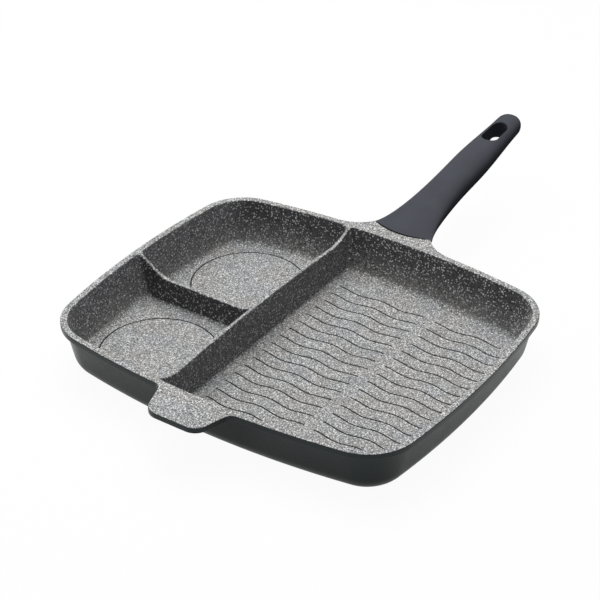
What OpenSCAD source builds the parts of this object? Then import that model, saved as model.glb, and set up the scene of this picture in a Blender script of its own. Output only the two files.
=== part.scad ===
// Divided frying pan: a cast body with three compartments, a moulded grip, and the screw that holds it.
// The origin is the centre of the base's flat face. The rim faces up and the grip points along +Y.

/* [Plan of the rim] */
// Width of the rim, left to right
rim_w = 310; // [290:1:330]
// Depth of the rim, front to back
rim_d = 258.8; // [245:0.2:275]
// Radius of the bowed left and right sides
side_r = 668; // [550:1:800]
// Radius of the bowed front and back
end_r = 688; // [550:1:800]
// Radius of the rim's round corners
corner_r = 40.3; // [36:0.1:50]

/* [Walls and base] */
// Height of the rim above the table
pan_h = 43; // [38:0.5:52]
// Thickness of the base
base_t = 6.3; // [5:0.1:8]
// Width of the rim's flat top
rim_t = 5.4; // [5:0.1:6.5]
// Height of the lip's outer face
lip_h = 4.5; // [3.5:0.1:6]
// How far the lip stands out over the wall
lip_out = 3.4; // [2.5:0.1:3.8]
// Radius along the lip's outer edges
lip_edge_r = 1.1; // [0.5:0.1:1.5]
// Radius along the rim's inner edge
rim_edge_r = 0.8; // [0.4:0.1:1.2]
// Lean of the outer wall, in degrees
outer_draft = 11.5; // [10:0.1:13]
// Lean of the inner wall, in degrees
inner_draft = 10.2; // [9:0.1:12]
// Radius between the outer wall and the base
base_r = 18; // [14:0.5:20]
// Radius between the inner wall and the floor
floor_r = 6; // [5:0.1:8]

/* [Dividers] */
// Distance of the long divider from the middle of the pan
divider_x = 37.7; // [30:0.1:45]
// Thickness of the dividers along their tops
divider_t = 2.4; // [2:0.1:3.5]
// Lean of the dividers' faces, in degrees
divider_draft = 2.6; // [1.5:0.1:4]
// Radius between a divider and the floor
foot_r = 4; // [3:0.1:5]
// Radius where the dividers meet the walls and each other
join_r = 4; // [3:0.1:5]
// How far the long divider's top lies below the rim at its middle
crown_drop = 5; // [4:0.1:7]
// How far the long divider's top lies below the rim at the ends of its crown
crown_end_drop = 7.8; // [7.2:0.1:10]
// Length of the flare from each end of the crown up to the rim
flare_run = 25; // [20:0.5:35]
// How far the cross divider's top lies below the rim
cross_drop = 15; // [12:0.1:18]
// Radius of the cross divider's rise to the long divider
cross_flare_r = 20; // [18:0.5:24]
// Slope of the cross divider's rise to the left wall, in degrees
cross_slope = 35; // [30:1:42]
// Radius at the foot of that rise
cross_foot_r = 24; // [18:0.5:30]

/* [Engraving] */
// Radius of the egg rings
ring_r = 45; // [38:0.1:46]
// Distance of the egg rings' centres from the cross divider
ring_y = 57.3; // [55:0.1:60]
// Distance of the egg rings' centres from the middle of the pan
ring_x = 89; // [88:0.1:91]
// Width of the engraved lines
line_w = 1.3; // [0.9:0.1:1.8]
// Depth of the engraved lines
line_deep = 0.8; // [0.5:0.1:1.2]
// Distance between the wavy lines
wave_pitch = 11.7; // [9:0.1:15]
// Height of a wave to each side of its middle
wave_rise = 1.45; // [0.8:0.05:2.5]
// Length of one wave
wave_l = 38.5; // [30:0.5:45]
// Waves in each line of the left column
wave_count = 2; // [1:1:2]
// Distance from the long divider's middle to the wavy lines
wave_gap = 11.2; // [9:0.1:14]
// Distance between the two columns of wavy lines
column_gap = 10; // [6:0.5:16]
// Distance the middle wavy line of the left column lies in front of the pan's middle
wave_shift = 0.85; // [0:0.05:3]
// Distance the right column lies nearer the front than the left one
column_shift = 1.4; // [0:0.1:3]
// Distance from the floor's right edge to the ends of the wavy lines
wave_side_margin = 7; // [5:0.5:10]
// Distance from the floor's front and back edges to the wavy lines
wave_end_margin = 12; // [8:0.5:16]

/* [Front lug] */
// How far the lug reaches beyond the rim
lug_reach = 27.6; // [20:0.1:34]
// Width of the lug's end, before its corners are rounded
lug_w = 43.8; // [36:0.1:52]
// Slant of the lug's sides, in degrees
lug_slant = 17; // [10:1:24]
// Radius of the lug's outer corners
lug_corner_r = 12; // [6:0.5:14]
// Radius where the lug's sides meet the rim
lug_flare_r = 7; // [4:0.5:12]

/* [Rear boss and tang] */
// How far the rim is drawn out behind, before the seam cuts it
boss_reach = 22.6; // [20:0.1:26]
// Width of that end, before its corners are rounded
boss_w = 38.6; // [36:0.1:42]
// Slant of the boss's sides, in degrees
boss_slant = 30; // [26:1:34]
// Radius where the boss's sides meet the rim
boss_flare_r = 36; // [28:0.5:42]
// Radius of the corners of that end
boss_corner_r = 4; // [2:0.5:6]
// Distance from the rim's back to the seam with the grip
seam_out = 5.6; // [4:0.1:8]
// Radius of the curved seam
seam_r = 52.8; // [46:0.1:70]
// Gap at the seam
seam_gap = 0.2; // [0.1:0.05:0.4]
// Width of the tang inside the grip
tang_w = 15; // [12:0.5:18]
// Thickness of the tang
tang_t = 6; // [5:0.5:7]
// Length of the tang beyond the seam
tang_l = 58; // [45:1:70]
// Clearance between the tang and its socket
tang_fit = 0.2; // [0.1:0.05:0.4]

/* [Grip] */
// Length of the grip
grip_l = 180.4; // [160:0.1:200]
// Width of the grip where it meets the boss
grip_root_w = 53.4; // [50:0.1:56]
// Width of the grip along its middle
grip_w = 29; // [26:0.1:32]
// Width of the grip near its end
grip_tip_w = 21.6; // [20.5:0.1:24]
// Height of the grip's top over its side line at the boss
grip_root_rise = 1.5; // [1:0.1:1.6]
// Height of the grip's top over its side line along the middle
grip_rise = 10; // [8:0.1:11]
// Height of the grip's top over its side line near its end
grip_tip_rise = 7.6; // [6:0.1:9]
// Depth of the grip's belly under its side line along the middle
grip_belly = 11.3; // [10:0.1:13]
// Depth of the grip's belly under its side line near its end
grip_tip_belly = 9; // [7:0.1:11]
// Length over which the grip flares towards the boss
grip_flare_l = 90; // [80:1:100]
// Angle at which the grip rises
grip_angle = 7.85; // [6:0.05:9]
// Depth of the grip's side line below the rim at the boss
grip_root_drop = 1.5; // [1.5:0.1:2.5]
// Distance along the grip at which it starts to narrow towards its end
grip_taper_at = 105; // [95:1:120]
// Length of the grip's rounded end
grip_nose = 9.1; // [7:0.1:12]
// Length of the hanging slot
slot_l = 28.9; // [24:0.1:34]
// Width of the hanging slot
slot_w = 14; // [12:0.1:15]
// Distance from the grip's end to the middle of the slot
slot_back = 31.3; // [28:0.1:36]

/* [Screw] */
// Diameter of the screw's shank
screw_d = 5; // [4:0.5:6]
// Diameter of the screw's head
screw_head_d = 9; // [8:0.5:10]
// Height of the screw's head
screw_head_h = 2.6; // [2:0.1:3.2]
// Distance of the screw along the tang
screw_at = 36; // [30:1:42]
// Clearance round the screw
screw_fit = 0.15; // [0.1:0.05:0.4]
// Wall of the grip between the screw's head and the tang
screw_seat_t = 3; // [2.5:0.1:4]
// Width of the arms of the screw's cross recess
recess_w = 1.1; // [0.8:0.1:1.4]

/* [Hidden] */

coat_colour = "#a3a3a1";
grip_colour = "#44464d";
screw_colour = "#b9bbbd";

// Steps along each kind of arc
side_steps = 7;
corner_steps = 9;
end_steps = 6;
join_steps = 5;
tab_steps = 5;
fillet_steps = 5;
edge_steps = 2;
crown_steps = 12;
flare_steps = 6;
wave_steps = 8; // for one wave
section_steps = 36;

over = 1; // by which a shape passes a face it cuts or joins, where its length is free
band_overlap = 5; // of the walls' bands with the block between them
blend_ease = 0.02; // by which a blend passes under the face it blends into, so that the two cross cleanly
engraving_over = 0.4; // by which the engraving's cuts pass the floor

half_w = rim_w / 2;
half_d = rim_d / 2;
// Centres of the right side's arc on the X axis and of the back's arc on the Y axis
side_c = half_w - side_r;
end_c = half_d - end_r;
// The corner's arc touches both, so its centre is a known distance from each of theirs
corner_to_side = side_r - corner_r;
corner_to_end = end_r - corner_r;
centres = norm([side_c, end_c]);
along = (pow(corner_to_side, 2) - pow(corner_to_end, 2) + pow(centres, 2)) / (2 * centres);
across = sqrt(pow(corner_to_side, 2) - pow(along, 2));
corner_c = [side_c - (along * side_c + across * end_c) / centres,
            (along * end_c - across * side_c) / centres];
side_end = atan2(corner_c.y, corner_c.x - side_c);
corner_end = atan2(corner_c.y - end_c, corner_c.x);

seam_y = half_d + seam_out;
grip_y = seam_y + seam_gap;
flare_power = 2.2;
grip_fullness = 2.4; // 2 is an ellipse, more is squarer
root_fullness = 1.6; // belly only, at the boss
nose_fullness = 2.67;
nose_flatten = 0.6; // share of the height lost at the very end
seam_fade = 30; // the seam's curve dies out over this length of the grip
grip_dip = 3.7; // by which the side line of the shaft aims under the boss
grip_root_under = 0.3; // by which the belly is shallower at the boss than along the middle
grip_edge = 0.9; // length over which the grip's edge at the seam is rounded

bracket_inset = 1.2; // on each side, from the grip's outline
bracket_under = 0.5; // from the rim's top, and from the grip's belly
bracket_in = 4; // from the rim's inner edge into the compartments, which cut it off
bracket_past = 10; // beyond the seam, which cuts it off

tang_root_l = tang_l / 4; // inside the boss
tang_cover = 2.4; // from the grip's side line to the tang, at the boss
tang_y = seam_y - tang_root_l;
tang_z = pan_h - grip_root_drop - tang_cover - tang_t / 2;
slot_y = grip_y + grip_l - slot_back;

screw_bore_d = screw_d + 2 * screw_fit;
head_bore_d = screw_head_d + 4 * screw_fit; // the head has twice the shank's clearance
recess_l = 0.55 * screw_head_d;
recess_deep = 0.6 * screw_head_h;

// An arc given by its centre, its radius and the directions of its outward normal. A hollow arc has a
// negative radius, so the same inset works on both.
function arc(c, r, a0, a1, n) =
    [for (k = [0:n]) let (a = a0 + (a1 - a0) * k / n) c + r * [cos(a), sin(a)]];
function reversed(v) = [for (k = [len(v) - 1:-1:0]) v[k]];
function flip_x(v) = [for (p = reversed(v)) [-p.x, p.y]];
// Drops a point that repeats the one before it, where two arcs touch
function distinct(v) =
    [for (k = [0:len(v) - 1]) if (norm(v[k] - v[(k + len(v) - 1) % len(v)]) > 0.001) v[k]];
function at_height(v, z) = [for (p = v) [p.x, p.y, z]];

// A quarter of the rim, from the right side's middle to the middle of the back, with half a tab drawn out
// of the back: a hollow flare, a slanted side, a round corner
function tab_quarter(off, reach, width, slant, corner, flare) =
    let (tip = half_d + reach,
         side = width / 2 * cos(slant) + tip * sin(slant),
         d = side + flare - end_c * sin(slant),
         q = sqrt(pow(end_r + flare, 2) - d * d),
         flare_c = [d * cos(slant) - sin(slant) * q, end_c + d * sin(slant) + cos(slant) * q],
         meets = atan2(flare_c.y - end_c, flare_c.x),
         tip_c = [(side - corner - (tip - corner) * sin(slant)) / cos(slant), tip - corner])
    concat(
        arc([side_c, 0], side_r - off, 0, side_end, side_steps),
        arc(corner_c, corner_r - off, side_end, corner_end, corner_steps),
        arc([0, end_c], end_r - off, corner_end, meets, end_steps),
        arc(flare_c, -flare - off, meets, slant, tab_steps),
        arc(tip_c, corner - off, slant, 90, tab_steps));

function rim_outline(off) =
    let (boss = tab_quarter(off, boss_reach, boss_w, boss_slant, boss_corner_r, boss_flare_r),
         lug = tab_quarter(off, lug_reach, lug_w, lug_slant, lug_corner_r, lug_flare_r),
         back = concat(boss, flip_x(boss)),
         front = concat(lug, flip_x(lug)))
    distinct(concat(back, [for (p = front) -p]));

// Inset of a wall at height z: a straight lean from its top, then a fillet that runs into the floor
function wall_inset(z, top, draft, r) =
    let (zc = base_t + r, centre = top + tan(draft) * (pan_h - zc) + r / cos(draft))
    z >= zc - r * sin(draft) ? top + tan(draft) * (pan_h - z)
                             : centre - sqrt(max(r * r - pow(zc - z, 2), 0));
function fillet_heights(draft, r) =
    [for (k = [0:fillet_steps]) base_t + r * (1 - sin(90 + (draft - 90) * k / fillet_steps))];
function divider_inset(z) = wall_inset(z, divider_t / 2, divider_draft, foot_r);
function inner_inset(z) = wall_inset(z, rim_t, inner_draft, floor_r);
floor_inset = inner_inset(base_t);

// Profiles of the walls, as pairs of an inset from the rim's outline and a height, from the bottom up
inner_profile = concat(
    [for (z = fillet_heights(inner_draft, floor_r)) [inner_inset(z), z]],
    [for (k = [0:edge_steps])
        let (a = 90 * k / edge_steps, z = pan_h - rim_edge_r * (1 - sin(a)))
        [inner_inset(z) - rim_edge_r * (1 - cos(a)), z]],
    [[rim_t - rim_edge_r, pan_h + over]]);
outer_centre = lip_out + tan(outer_draft) * (pan_h - lip_h - base_r) + base_r / cos(outer_draft);
outer_profile = concat(
    [for (k = [0:fillet_steps])
        let (a = 90 + (outer_draft - 90) * k / fillet_steps)
        [outer_centre - base_r * cos(a), base_r * (1 - sin(a))]],
    [let (top = pan_h - lip_h / 3) [lip_out - tan(outer_draft) * (top - pan_h + lip_h), top]]);

// A profile turned about the centre of an arc of radius r, from the angle start over the angle sweep,
// as a band that reaches in to the radius inner
module turned(profile, r, inner, start, sweep) {
    bottom = profile[0][1];
    top = profile[len(profile) - 1][1];
    rotate_extrude(angle = sweep, start = start, $fn = r > half_w ? 720 : 72)
        polygon(concat([[inner, bottom]], [for (p = profile) [r - p[0], p[1]]], [[inner, top]]));
}

// A solid that follows the rim's plan, with the given profile as its wall: a round corner at each of the
// four centres, a band along each side and each end, and a block in the middle
module swept(profile) {
    bottom = profile[0][1];
    top = profile[len(profile) - 1][1];
    block = corner_c - [over, over];
    translate([-block.x, -block.y, bottom])
        cube([2 * block.x, 2 * block.y, top - bottom]);
    for (side = [-1, 1], end = [-1, 1])
        translate([side * corner_c.x, end * corner_c.y, 0])
            turned(profile, corner_r - blend_ease, 0, 0, 360);
    for (half_turn = [0, 180])
        rotate([0, 0, half_turn]) {
            translate([side_c, 0, 0])
                turned(profile, side_r, block.x - side_c - band_overlap, -side_end, 2 * side_end);
            translate([0, end_c, 0])
                turned(profile, end_r, block.y - end_c - band_overlap, corner_end, 180 - 2 * corner_end);
        }
}

// Skins a stack of rings that all have the same number of points, and closes each end with a fan: about
// its middle, or about its first point
module loft(rings, about_first = false) {
    n = len(rings[0]);
    last = len(rings) - 1;
    reach = function(ring, axis) [for (p = ring) p[axis]];
    middle = function(ring)
        [for (axis = [0:2]) (min(reach(ring, axis)) + max(reach(ring, axis))) / 2];
    middle_at = (last + 1) * n;
    walls = [for (j = [0:last - 1], i = [0:n - 1])
        let (k = (i + 1) % n) [j * n + i, (j + 1) * n + i, (j + 1) * n + k, j * n + k]];
    ends = about_first
        ? [[for (i = [0:n - 1]) i], [for (i = [n:-1:1]) last * n + i % n]]
        : [for (i = [0:n - 1])
            let (k = (i + 1) % n) each [[middle_at, i, k], [middle_at + 1, last * n + k, last * n + i]]];
    polyhedron(
        points = concat(
            [for (ring = rings) each ring],
            about_first ? [] : [middle(rings[0]), middle(rings[last])]),
        faces = concat(walls, ends),
        convexity = 6);
}

// The flat lip with the lug and the boss drawn out of it
module lip() {
    under_r = lip_edge_r / 2;
    levels = concat(
        [[pan_h - lip_h, under_r], [pan_h - lip_h + under_r, 0]],
        [for (k = [0:edge_steps])
            let (a = 90 * k / edge_steps) [pan_h - lip_edge_r * (1 - sin(a)), lip_edge_r * (1 - cos(a))]]);
    loft([for (level = levels) at_height(rim_outline(level[1]), level[0])]);
}

// Section of the grip and of the boss: its half width, the height of its side line, and how far it
// reaches over and under that line. The last two are the fullness of the top and of the belly.
function section(half, side_z, rise, drop, top_n, belly_n) =
    [for (k = [0:section_steps - 1])
        let (t = 360 * k / section_steps,
             n = sin(t) > 0 ? top_n : belly_n,
             u = sign(cos(t)) * pow(abs(cos(t)), 2 / n),
             v = sign(sin(t)) * pow(abs(sin(t)), 2 / n))
        [-half * u, side_z + (v > 0 ? rise : drop) * v]];

// The bracket under the lip that carries the grip, with the grip's own section
module boss_bracket() {
    side_z = pan_h - lip_h / 2;
    half = grip_root_w / 2 - bracket_inset;
    rise = lip_h / 2 - bracket_under;
    drop = grip_belly + grip_root_drop - lip_h / 2 - bracket_under;
    back = seam_y + bracket_past;
    translate([0, back, side_z]) rotate([90, 0, 0])
        linear_extrude(back - half_d + rim_t + bracket_in)
            polygon(section(half, 0, rise, drop, grip_fullness, root_fullness));
}

// Places its children on the tang: the local Y axis runs along it, from its root inside the boss
module on_tang() {
    translate([0, tang_y, tang_z]) rotate([grip_angle, 0, 0]) children();
}

module tang(extra) {
    on_tang()
        translate([-tang_w / 2 - extra, 0, -tang_t / 2 - extra])
            cube([tang_w + 2 * extra, tang_l + tang_root_l + extra, tang_t + 2 * extra]);
}

// Area under the grip, which starts at the curved seam
module seam_cut(gap) {
    translate([0, seam_y + seam_r, 0])
        cylinder(r = seam_r + gap, h = 4 * pan_h, center = true, $fn = 96);
}

// Section of a divider, with its leaning faces and the radius at its foot
module divider_section() {
    half = concat(
        [for (z = fillet_heights(divider_draft, foot_r)) [divider_inset(z), z]],
        [[divider_t / 2, pan_h]]);
    foot = [half[0].x, base_t - over];
    polygon(concat([foot], half, flip_x(half), [[-foot.x, foot.y]]));
}

// Side view of the space over the long divider: a slight crown that flares up to the rim at both ends
module long_crest() {
    reach = end_c + sqrt(pow(end_r - rim_t, 2) - pow(divider_x, 2));
    crown = reach - flare_run;
    sag = crown_end_drop - crown_drop;
    crown_r = (crown * crown + sag * sag) / (2 * sag);
    flare_r = (pow(flare_run, 2) + pow(crown_end_drop, 2)) / (2 * crown_end_drop);
    half = concat(
        arc([0, pan_h - crown_drop - crown_r], crown_r, 90, 90 - asin(crown / crown_r), crown_steps / 2),
        arc([crown, pan_h - crown_end_drop + flare_r], -flare_r, 90, 90 + asin(flare_run / flare_r),
            flare_steps));
    polygon(distinct(concat(
        [[-reach, pan_h + over], [reach, pan_h + over]], reversed(half), flip_x(reversed(half)))));
}

// Side view of the space over the cross divider, from the left wall: a slope down from the rim, a flat
// stretch, and a flare up to the long divider
module cross_crest() {
    left = half_w - rim_t;
    right = divider_x + divider_inset(pan_h - crown_drop);
    top = pan_h - cross_drop;
    climb = cross_drop - crown_drop - blend_ease;
    run = sqrt(pow(cross_flare_r, 2) - pow(cross_flare_r - climb, 2));
    foot_z = cross_foot_r * (1 - cos(cross_slope));
    foot_x = left - (cross_drop - foot_z) / tan(cross_slope) - cross_foot_r * sin(cross_slope);
    polygon(distinct(concat(
        [[divider_x, pan_h + over], [left, pan_h + over], [left, pan_h]],
        arc([foot_x, top + cross_foot_r], -cross_foot_r, 90 + cross_slope, 90, flare_steps),
        arc([right + run, top + cross_flare_r], -cross_flare_r, 90, 90 - asin(run / cross_flare_r),
            flare_steps),
        [[divider_x, top + climb]])));
}

// A column that rounds the upright corner where two faces meet. The functions give its centre at each
// height z, and the directions from there to the two faces, the first anticlockwise of the second.
module join_column(centre, from, to) {
    bite = divider_t / 4;
    toward = function(a) (join_r + bite) * [cos(a), sin(a)];
    turns = fillet_heights(divider_draft, foot_r);
    levels = concat([base_t - over, base_t - blend_ease], [for (k = [1:fillet_steps]) turns[k]], [pan_h]);
    loft([for (z = levels)
        let (c = centre(z), a = from(c), b = to(c))
        at_height(concat(
            [c + toward(a) + toward(b), c + toward(a)],
            arc(c, join_r + blend_ease, a, b, join_steps),
            [c + toward(b)]), z)],
        about_first = true);
}

// The columns at the back end of the long divider's right face and left face
module end_join(side) {
    join_column(
        function(z)
            let (x = side * (divider_inset(z) + join_r) - divider_x)
            [x, end_c + sqrt(pow(end_r - inner_inset(z) - join_r, 2) - x * x)],
        function(c) side > 0 ? 180 : atan2(c.y - end_c, c.x),
        function(c) side > 0 ? atan2(c.y - end_c, c.x) : 0);
}

// The column between the cross divider's rear face and the left wall
module side_join() {
    join_column(
        function(z)
            let (y = divider_inset(z) + join_r)
            [-side_c - sqrt(pow(side_r - inner_inset(z) - join_r, 2) - y * y), y],
        function(c) 270,
        function(c) atan2(c.y, side_c + c.x));
}

// The column between the cross divider's rear face and the long divider
module middle_join() {
    join_column(
        function(z) [-divider_x - divider_inset(z) - join_r, divider_inset(z) + join_r],
        function(c) 360,
        function(c) 270);
}

// Width of the cuts along the dividers' tops, over the columns too
crest_w = 2 * (divider_t + foot_r + join_r);

module long_divider() {
    difference() {
        union() {
            translate([-divider_x, half_d, 0]) rotate([90, 0, 0])
                linear_extrude(rim_d) divider_section();
            for (end = [0, 1], side = [-1, 1])
                mirror([0, end, 0]) end_join(side);
        }
        translate([-crest_w / 2 - divider_x, 0, 0]) rotate([90, 0, 90])
            linear_extrude(crest_w) long_crest();
    }
}

module cross_divider() {
    difference() {
        union() {
            translate([-half_w, 0, 0]) rotate([90, 0, 90])
                linear_extrude(half_w - divider_x) divider_section();
            for (end = [0, 1])
                mirror([0, end, 0]) {
                    side_join();
                    middle_join();
                }
        }
        translate([0, crest_w / 2, 0]) rotate([90, 0, 0]) mirror([1, 0, 0])
            linear_extrude(crest_w) cross_crest();
    }
}

// The three compartments: the space inside the walls, less the dividers
module compartments() {
    difference() {
        swept(inner_profile);
        long_divider();
        cross_divider();
    }
}

// An engraved ring with slanted sides
module egg_ring(y) {
    half = [[line_w / 4, -line_deep], [line_w / 2, 0], [line_w / 2, engraving_over]];
    translate([-ring_x, y, base_t])
        rotate_extrude($fn = 96)
            translate([ring_r, 0])
                polygon(concat(half, flip_x(half)));
}

// X of the inner wall's outline at y, moved inwards by off
function wall_x(y, off) =
    abs(y) < (side_r - off) * sin(side_end)
        ? side_c + sqrt(pow(side_r - off, 2) - y * y)
        : corner_c.x + sqrt(max(pow(corner_r - off, 2) - pow(abs(y) - corner_c.y, 2), 0));

// One engraved wavy line from x0 to x1, which starts at the top of a wave
module wavy_line(x0, x1, y) {
    half = [0, line_w / 2];
    steps = ceil((x1 - x0) / wave_l * wave_steps);
    line = [for (k = [0:steps])
        let (s = (x1 - x0) * k / steps) [x0 + s, y + wave_rise * cos(360 * s / wave_l)]];
    translate([0, 0, base_t - line_deep])
        linear_extrude(line_deep + engraving_over)
            polygon(concat([for (p = line) p - half], reversed([for (p = line) p + half])));
}

// Both columns of wavy lines, as many as the floor has room for
module wavy_lines() {
    each_way = floor((half_d - floor_inset - wave_end_margin) / wave_pitch);
    left = wave_gap - divider_x;
    right = left + wave_count * wave_l + column_gap;
    for (k = [-each_way:each_way]) {
        y = k * wave_pitch - wave_shift;
        wavy_line(left, left + wave_count * wave_l, y);
        wavy_line(right, wall_x(y, floor_inset + wave_side_margin), y - column_shift);
    }
}

module pan_body() {
    color(coat_colour)
        difference() {
            union() {
                difference() {
                    union() {
                        swept(outer_profile);
                        lip();
                        boss_bracket();
                    }
                    seam_cut(0);
                }
                tang(0);
            }
            compartments();
            for (side = [-1, 1])
                egg_ring(side * ring_y);
            wavy_lines();
            on_tang()
                translate([0, screw_at, -tang_t])
                    cylinder(d = screw_bore_d, h = 2 * tang_t, $fn = 32);
        }
}

// Share of the flare that is left at a distance s along the grip, and how far it has narrowed by there
function flare_at(s) = pow(max(1 - s / grip_flare_l, 0), flare_power);
function taper_at(s) =
    let (u = min(max((s - grip_taper_at) / (grip_l - grip_taper_at), 0), 1)) u * u * (3 - 2 * u);
function mixed(middle, root, tip, s) = middle + (root - middle) * flare_at(s) + (tip - middle) * taper_at(s);
function grip_side_z(s) =
    pan_h - grip_root_drop - grip_dip + tan(grip_angle) * s + grip_dip * pow(flare_at(s), 2);

// One ring of the grip at a distance s, with its width scaled by k and its height by kz. The first rings
// follow the curve of the seam.
function grip_ring(s, k, kz) =
    let (half = mixed(grip_w, grip_root_w, grip_tip_w, s) / 2 * k,
         rise = mixed(grip_rise, grip_root_rise, grip_tip_rise, s) * kz,
         drop = mixed(grip_belly, grip_belly - grip_root_under, grip_tip_belly, s) * kz,
         belly_n = grip_fullness + (root_fullness - grip_fullness) * flare_at(s),
         bow = max(1 - s / seam_fade, 0))
    [for (p = section(half, grip_side_z(s), rise, drop, grip_fullness, belly_n))
        [p.x, grip_y + s + bow * (seam_r - sqrt(seam_r * seam_r - p.x * p.x)), p.y]];

function grip_rings() =
    let (straight = grip_l - grip_nose,
         front = [for (k = [0.02, 0.36, 0.7, 0.97]) grip_ring(0, k, k)],
         flare_spans = 9,
         root = [for (k = [0:flare_spans])
             grip_ring(grip_edge + (grip_flare_l - grip_edge) * pow(k / (flare_spans + 0.3), 1.4), 1, 1)],
         shaft_steps = 5,
         shaft = [for (k = [0:shaft_steps])
             grip_ring(grip_taper_at + (straight - grip_taper_at) * k / shaft_steps, 1, 1)],
         nose_steps = 6,
         nose = [for (k = [1:nose_steps])
             let (u = sin(89 * k / nose_steps),
                  shrink = pow(1 - pow(u, nose_fullness), 1 / nose_fullness))
             grip_ring(straight + grip_nose * u, shrink, 1 - nose_flatten * (1 - shrink))])
    concat(front, root, shaft, nose);

// The space of the hanging slot, straight up through the grip
module slot_space() {
    through = 3 * (grip_rise + grip_belly);
    translate([0, slot_y, grip_side_z(grip_l - slot_back)]) {
        for (end = [-1, 1])
            translate([0, end * (slot_l - slot_w) / 2, 0])
                cylinder(d = slot_w, h = through, center = true, $fn = 48);
        cube([slot_w, slot_l - slot_w, through], center = true);
    }
}

// The space of the screw: its recess in the grip's belly, and its hole on to the tang
module screw_space() {
    recess_h = 2 * grip_belly;
    on_tang()
        translate([0, screw_at, -tang_t / 2 - screw_seat_t]) {
            translate([0, 0, -recess_h])
                cylinder(d = head_bore_d, h = recess_h, $fn = 40);
            translate([0, 0, -over])
                cylinder(d = screw_bore_d, h = screw_seat_t + 2 * over, $fn = 32);
        }
}

module handle() {
    color(grip_colour)
        difference() {
            loft(grip_rings());
            tang(tang_fit);
            slot_space();
            screw_space();
        }
}

module handle_screw() {
    color(screw_colour)
        on_tang()
            translate([0, screw_at, -tang_t / 2 - screw_seat_t - screw_head_h])
                difference() {
                    union() {
                        cylinder(d = screw_head_d, h = screw_head_h, $fn = 40);
                        cylinder(d = screw_d, h = screw_head_h + screw_seat_t + tang_t, $fn = 32);
                    }
                    for (turn = [0, 90])
                        rotate([0, 0, turn])
                            translate([-recess_l / 2, -recess_w / 2, -over])
                                cube([recess_l, recess_w, recess_deep + over]);
                }
}

pan_body();
handle();
handle_screw();
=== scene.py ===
"""Looks of a divided frying pan: a finely skinned body and grip, their finishes, and a plain studio.

Lengths are in millimetres until a mesh is made. The origin is the centre of the base's flat face.
"""

import math
from collections import namedtuple

import bpy
import numpy as np
from mathutils import Matrix, Vector
from mathutils.geometry import delaunay_2d_cdt


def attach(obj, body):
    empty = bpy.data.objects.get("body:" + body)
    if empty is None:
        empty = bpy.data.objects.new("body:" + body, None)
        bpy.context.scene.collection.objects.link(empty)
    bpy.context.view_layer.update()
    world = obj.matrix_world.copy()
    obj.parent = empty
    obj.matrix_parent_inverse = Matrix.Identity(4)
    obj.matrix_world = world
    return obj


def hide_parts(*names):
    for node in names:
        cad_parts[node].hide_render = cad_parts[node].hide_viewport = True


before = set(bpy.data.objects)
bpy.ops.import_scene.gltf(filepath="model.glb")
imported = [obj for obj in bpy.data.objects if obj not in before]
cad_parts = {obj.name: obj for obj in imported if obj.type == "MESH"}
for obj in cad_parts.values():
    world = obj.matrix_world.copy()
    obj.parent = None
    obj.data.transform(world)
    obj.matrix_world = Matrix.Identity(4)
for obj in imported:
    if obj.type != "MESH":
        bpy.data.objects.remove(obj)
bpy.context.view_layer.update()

MM = 0.001
TINY = 1e-6

# Plan of the rim
RIM_W, RIM_D = 310.0, 258.8
SIDE_R, END_R, CORNER_R = 668.0, 688.0, 40.3

# Walls and base
PAN_H, BASE_T = 43.0, 6.3
RIM_T, RIM_EDGE_R = 5.4, 0.8
LIP_H, LIP_OUT, LIP_EDGE_R, LIP_UNDER_R = 4.5, 3.4, 0.8, 0.55
OUTER_DRAFT, INNER_DRAFT = 11.5, 10.2
BASE_R, FLOOR_R, BASE_MARGIN = 18.0, 6.0, 2.0

# Dividers
DIVIDER_X, DIVIDER_T, DIVIDER_DRAFT = 37.7, 2.4, 2.6
FOOT_R, JOIN_R, CREST_MARGIN = 2.7, 4.0, 2.0
CROWN_DROP, CROWN_END_DROP, FLARE_RUN = 5.0, 7.8, 25.0
CROSS_DROP, CROSS_FLARE_R, CROSS_SLOPE, CROSS_FOOT_R = 15.0, 20.0, 35.0, 24.0

# Engraving
RING_R, RING_X, RING_Y = 45.0, 89.0, 57.3
LINE_W, LINE_DEEP = 1.3, 0.8
WAVE_PITCH, WAVE_RISE, WAVE_L, WAVE_COUNT = 11.7, 1.45, 38.5, 2
WAVE_GAP, COLUMN_GAP, WAVE_SHIFT, COLUMN_SHIFT = 11.2, 10.0, 0.85, 1.4
WAVE_SIDE_MARGIN, WAVE_END_MARGIN = 7.0, 12.0

# Lug and boss. The slant of their sides is in degrees, and the seam cuts off the boss's corners.
Tab = namedtuple("Tab", "reach width slant corner_r flare_r")
LUG = Tab(27.6, 43.8, 17.0, 12.0, 7.0)
BOSS = Tab(22.6, 38.6, 30.0, 0.0, 36.0)

# Seam between the boss and the grip. The lip's edge gets sharper towards it, over the run.
SEAM_OUT, SEAM_R, SEAM_GAP = 5.6, 52.8, 0.2
SEAM_TIP_R, SEAM_EDGE_R, SEAM_EDGE_REACH, SEAM_EDGE_RUN = 0.5, 0.4, 8.0, 5.0

# Bracket: how much smaller it is than the grip's root at the sides, top and belly, then its length before
# the seam, the radius of its edge, its gap to the seam and how far it reaches into the back wall
BRACKET_SIDE, BRACKET_TOP, BRACKET_BELLY = 1.2, 0.5, 0.4
BRACKET_L, BRACKET_EDGE_R, BRACKET_FIT, BRACKET_SINK = 7.0, 0.6, 0.05, 1.0

# Neck of the bracket in the seam: its reach, and how much smaller than the bracket it is in the same way
NECK_L, NECK_SIDE, NECK_TOP, NECK_BELLY = 2.4, 0.8, 1.4, 2.5

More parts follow.
